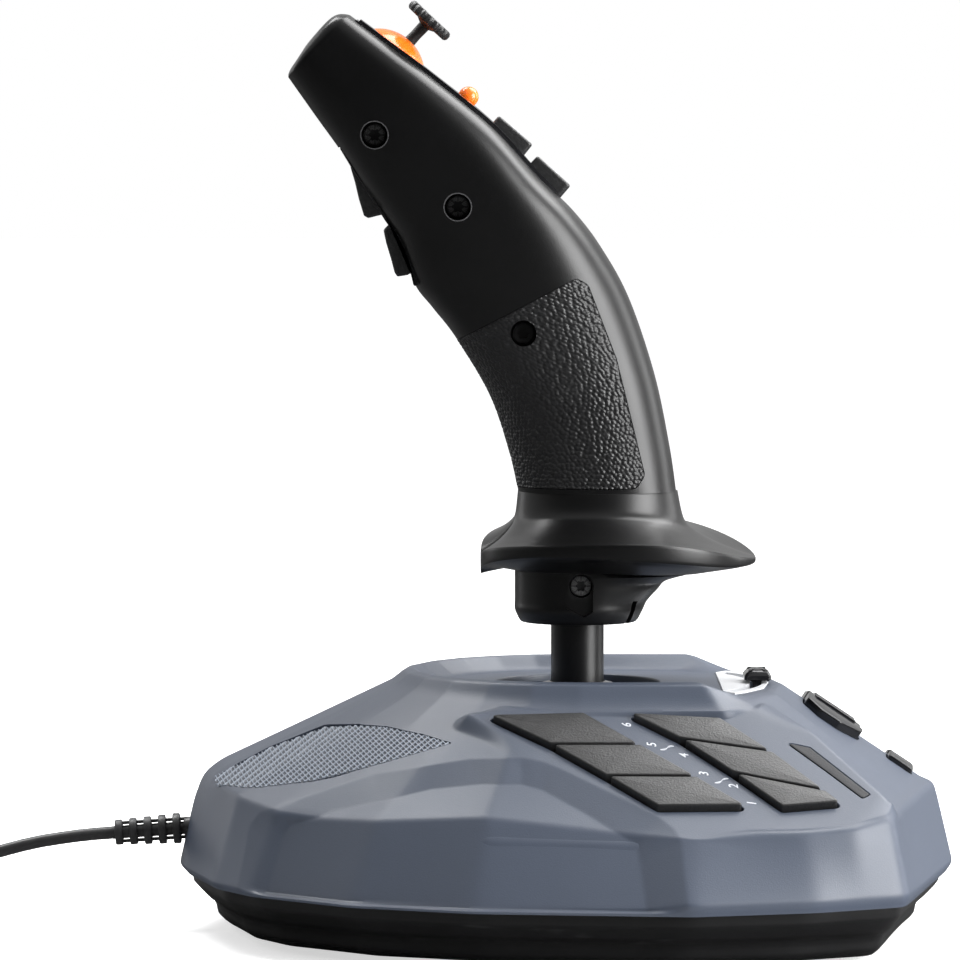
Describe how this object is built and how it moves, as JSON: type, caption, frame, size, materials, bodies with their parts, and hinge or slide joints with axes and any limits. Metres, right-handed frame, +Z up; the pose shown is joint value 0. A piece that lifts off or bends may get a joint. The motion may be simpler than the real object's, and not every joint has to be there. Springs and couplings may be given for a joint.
{
  "type": "flight joystick",
  "caption": "Desk flight joystick: faceted base with key panels, gimballed shaft, hand rest, tilted pistol grip with triggers, thumb stick and hat, and a USB cable.",
  "frame": {"origin": "centre of the base's outline on the surface that the rubber feet stand on", "axes": "+Z up, +X to the rear of the stick, towards the user, -X towards the nose where the cable leaves, +Y to the object's right"},
  "size_m": [0.3192, 0.207, 0.2492],
  "materials": {
    "cover_shell": "satin moulded ABS, fine spark texture",
    "pan_shell": "satin moulded ABS",
    "grip_shell": "satin moulded ABS with a soft sheen",
    "key_cap": "fine sandblast texture",
    "gloss_black": "polished",
    "pad_rubber": "leather-grained soft-touch rubber",
    "foot_rubber": "matte",
    "orange_plastic": "tinted, semi-translucent",
    "silver_plate": "brushed, clear anodised",
    "smoke_lens": "smoked, fine line texture",
    "steel": "machined",
    "screw_black": "black oxide",
    "board": "solder mask",
    "membrane": "silicone",
    "cable_jacket": "satin PVC"
  },
  "bodies": {
    "base": {"base_cover": "cover_shell", "base_pan": "pan_shell", "rubber_feet": "foot_rubber", "pan_screws": "screw_black", "ballast_weights": "steel", "main_board": "board", "gimbal_frame": "pan_shell", "throttle_track": "silver_plate", "light_bars": "smoke_lens", "button_membranes": "membrane", "pitch_springs": "steel", "strain_relief": "cable_jacket", "usb_cable": "cable_jacket", "cable_coil": "cable_jacket", "cable_tie": "pan_shell", "usb_plug": "cable_jacket"},
    "left_button_1": {"left_button_1": "key_cap"},
    "left_button_2": {"left_button_2": "key_cap"},
    "left_button_3": {"left_button_3": "key_cap"},
    "left_button_4": {"left_button_4": "key_cap"},
    "left_button_5": {"left_button_5": "key_cap"},
    "left_button_6": {"left_button_6": "key_cap"},
    "right_button_1": {"right_button_1": "key_cap"},
    "right_button_2": {"right_button_2": "key_cap"},
    "right_button_3": {"right_button_3": "key_cap"},
    "right_button_4": {"right_button_4": "key_cap"},
    "right_button_5": {"right_button_5": "key_cap"},
    "right_button_6": {"right_button_6": "key_cap"},
    "cruise_key_left": {"cruise_key_left": "gloss_black"},
    "cruise_key_right": {"cruise_key_right": "gloss_black"},
    "rear_key_left": {"rear_key_left": "gloss_black"},
    "rear_key_right": {"rear_key_right": "gloss_black"},
    "throttle_lever": {"throttle_lever": "gloss_black"},
    "gimbal_ring": {"gimbal_ring": "steel", "roll_springs": "steel"},
    "gimbal_block": {"gimbal_block": "steel", "dust_cap": "gloss_black"},
    "stick": {"stick_shaft": "grip_shell", "hub": "grip_shell", "hub_screw": "screw_black", "hand_rest": "grip_shell", "handle_left": "grip_shell", "handle_right": "grip_shell", "finger_grip": "pad_rubber", "face_plate": "gloss_black", "handle_screws": "screw_black", "handle_board": "board", "trigger_bezel": "grip_shell", "thumb_bracket": "pan_shell", "hat_pad": "gloss_black"},
    "trigger_upper": {"trigger_upper": "key_cap"},
    "trigger_lower": {"trigger_lower": "key_cap"},
    "thumb_yoke": {"thumb_yoke": "steel"},
    "thumb_stick": {"thumb_dome": "orange_plastic", "thumb_cap": "key_cap"},
    "hat_yoke": {"hat_yoke": "steel"},
    "hat": {"hat_ball": "orange_plastic"},
    "face_button_upper": {"face_button_upper": "key_cap"},
    "face_button_lower": {"face_button_lower": "key_cap"}
  },
  "joints": [
    {"name": "left_button_1_press", "type": "slide", "parent": "base", "child": "left_button_1", "axis": [-0.0413, 0.5253, -0.8499], "range_m": [0, 0.0012], "stiffness_N_per_m": 600},
    {"name": "left_button_2_press", "type": "slide", "parent": "base", "child": "left_button_2", "axis": [-0.0413, 0.5253, -0.8499], "range_m": [0, 0.0012], "stiffness_N_per_m": 600},
    {"name": "left_button_3_press", "type": "slide", "parent": "base", "child": "left_button_3", "axis": [-0.0413, 0.5253, -0.8499], "range_m": [0, 0.0012], "stiffness_N_per_m": 600},
    {"name": "left_button_4_press", "type": "slide", "parent": "base", "child": "left_button_4", "axis": [-0.0413, 0.5253, -0.8499], "range_m": [0, 0.0012], "stiffness_N_per_m": 600},
    {"name": "left_button_5_press", "type": "slide", "parent": "base", "child": "left_button_5", "axis": [-0.0413, 0.5253, -0.8499], "range_m": [0, 0.0012], "stiffness_N_per_m": 600},
    {"name": "left_button_6_press", "type": "slide", "parent": "base", "child": "left_button_6", "axis": [-0.0413, 0.5253, -0.8499], "range_m": [0, 0.0012], "stiffness_N_per_m": 600},
    {"name": "right_button_1_press", "type": "slide", "parent": "base", "child": "right_button_1", "axis": [-0.0413, -0.5253, -0.8499], "range_m": [0, 0.0012], "stiffness_N_per_m": 600},
    {"name": "right_button_2_press", "type": "slide", "parent": "base", "child": "right_button_2", "axis": [-0.0413, -0.5253, -0.8499], "range_m": [0, 0.0012], "stiffness_N_per_m": 600},
    {"name": "right_button_3_press", "type": "slide", "parent": "base", "child": "right_button_3", "axis": [-0.0413, -0.5253, -0.8499], "range_m": [0, 0.0012], "stiffness_N_per_m": 600},
    {"name": "right_button_4_press", "type": "slide", "parent": "base", "child": "right_button_4", "axis": [-0.0413, -0.5253, -0.8499], "range_m": [0, 0.0012], "stiffness_N_per_m": 600},
    {"name": "right_button_5_press", "type": "slide", "parent": "base", "child": "right_button_5", "axis": [-0.0413, -0.5253, -0.8499], "range_m": [0, 0.0012], "stiffness_N_per_m": 600},
    {"name": "right_button_6_press", "type": "slide", "parent": "base", "child": "right_button_6", "axis": [-0.0413, -0.5253, -0.8499], "range_m": [0, 0.0012], "stiffness_N_per_m": 600},
    {"name": "cruise_key_left_press", "type": "slide", "parent": "base", "child": "cruise_key_left", "axis": [-0.5472, 0.1305, -0.8268], "range_m": [0, 0.0012], "stiffness_N_per_m": 600},
    {"name": "rear_key_left_press", "type": "slide", "parent": "base", "child": "rear_key_left", "axis": [-0.5472, 0.1305, -0.8268], "range_m": [0, 0.0008], "stiffness_N_per_m": 500},
    {"name": "cruise_key_right_press", "type": "slide", "parent": "base", "child": "cruise_key_right", "axis": [-0.5472, -0.1305, -0.8268], "range_m": [0, 0.0012], "stiffness_N_per_m": 600},
    {"name": "rear_key_right_press", "type": "slide", "parent": "base", "child": "rear_key_right", "axis": [-0.5472, -0.1305, -0.8268], "range_m": [0, 0.0008], "stiffness_N_per_m": 500},
    {"name": "throttle_turn", "type": "hinge", "parent": "base", "child": "throttle_lever", "pos_m": [0.003, 0, 0.05], "axis": [0, 0, 1], "range_deg": [-28, 28]},
    {"name": "stick_pitch", "type": "hinge", "parent": "base", "child": "gimbal_ring", "pos_m": [0.003, 0, 0.034], "axis": [0, 1, 0], "range_deg": [-16, 16], "stiffness_Nm_per_rad": 3},
    {"name": "stick_roll", "type": "hinge", "parent": "gimbal_ring", "child": "gimbal_block", "pos_m": [0.003, 0, 0.034], "axis": [1, 0, 0], "range_deg": [-16, 16], "stiffness_Nm_per_rad": 3},
    {"name": "stick_twist", "type": "hinge", "parent": "gimbal_block", "child": "stick", "pos_m": [0.003, 0, 0.034], "axis": [0, 0, 1], "range_deg": [-15, 15], "stiffness_Nm_per_rad": 0.6},
    {"name": "trigger_upper_pull", "type": "hinge", "parent": "stick", "child": "trigger_upper", "pos_m": [-0.05294, 0, 0.20573], "axis": [0, -1, 0], "range_deg": [0, 8], "stiffness_Nm_per_rad": 0.3},
    {"name": "trigger_lower_pull", "type": "hinge", "parent": "stick", "child": "trigger_lower", "pos_m": [-0.04458, 0, 0.19002], "axis": [0, -1, 0], "range_deg": [0, 8], "stiffness_Nm_per_rad": 0.3},
    {"name": "thumb_pitch", "type": "hinge", "parent": "stick", "child": "thumb_yoke", "pos_m": [-0.0502, 0, 0.229], "axis": [0, 1, 0], "range_deg": [-11, 11], "stiffness_Nm_per_rad": 0.05},
    {"name": "thumb_roll", "type": "hinge", "parent": "thumb_yoke", "child": "thumb_stick", "pos_m": [-0.0502, 0, 0.229], "axis": [0.7278, 0, -0.6858], "range_deg": [-11, 11], "stiffness_Nm_per_rad": 0.05},
    {"name": "hat_pitch", "type": "hinge", "parent": "stick", "child": "hat_yoke", "pos_m": [-0.03148, 0, 0.21703], "axis": [0, 1, 0], "range_deg": [-9, 9], "stiffness_Nm_per_rad": 0.02},
    {"name": "hat_roll", "type": "hinge", "parent": "hat_yoke", "child": "hat", "pos_m": [-0.03148, 0, 0.21703], "axis": [0.7547, 0, -0.6561], "range_deg": [-9, 9], "stiffness_Nm_per_rad": 0.02},
    {"name": "face_button_upper_press", "type": "slide", "parent": "stick", "child": "face_button_upper", "axis": [-0.6494, 0, -0.7604], "range_m": [0, 0.001], "stiffness_N_per_m": 500},
    {"name": "face_button_lower_press", "type": "slide", "parent": "stick", "child": "face_button_lower", "axis": [-0.6691, 0, -0.7431], "range_m": [0, 0.001], "stiffness_N_per_m": 500}
  ]
}
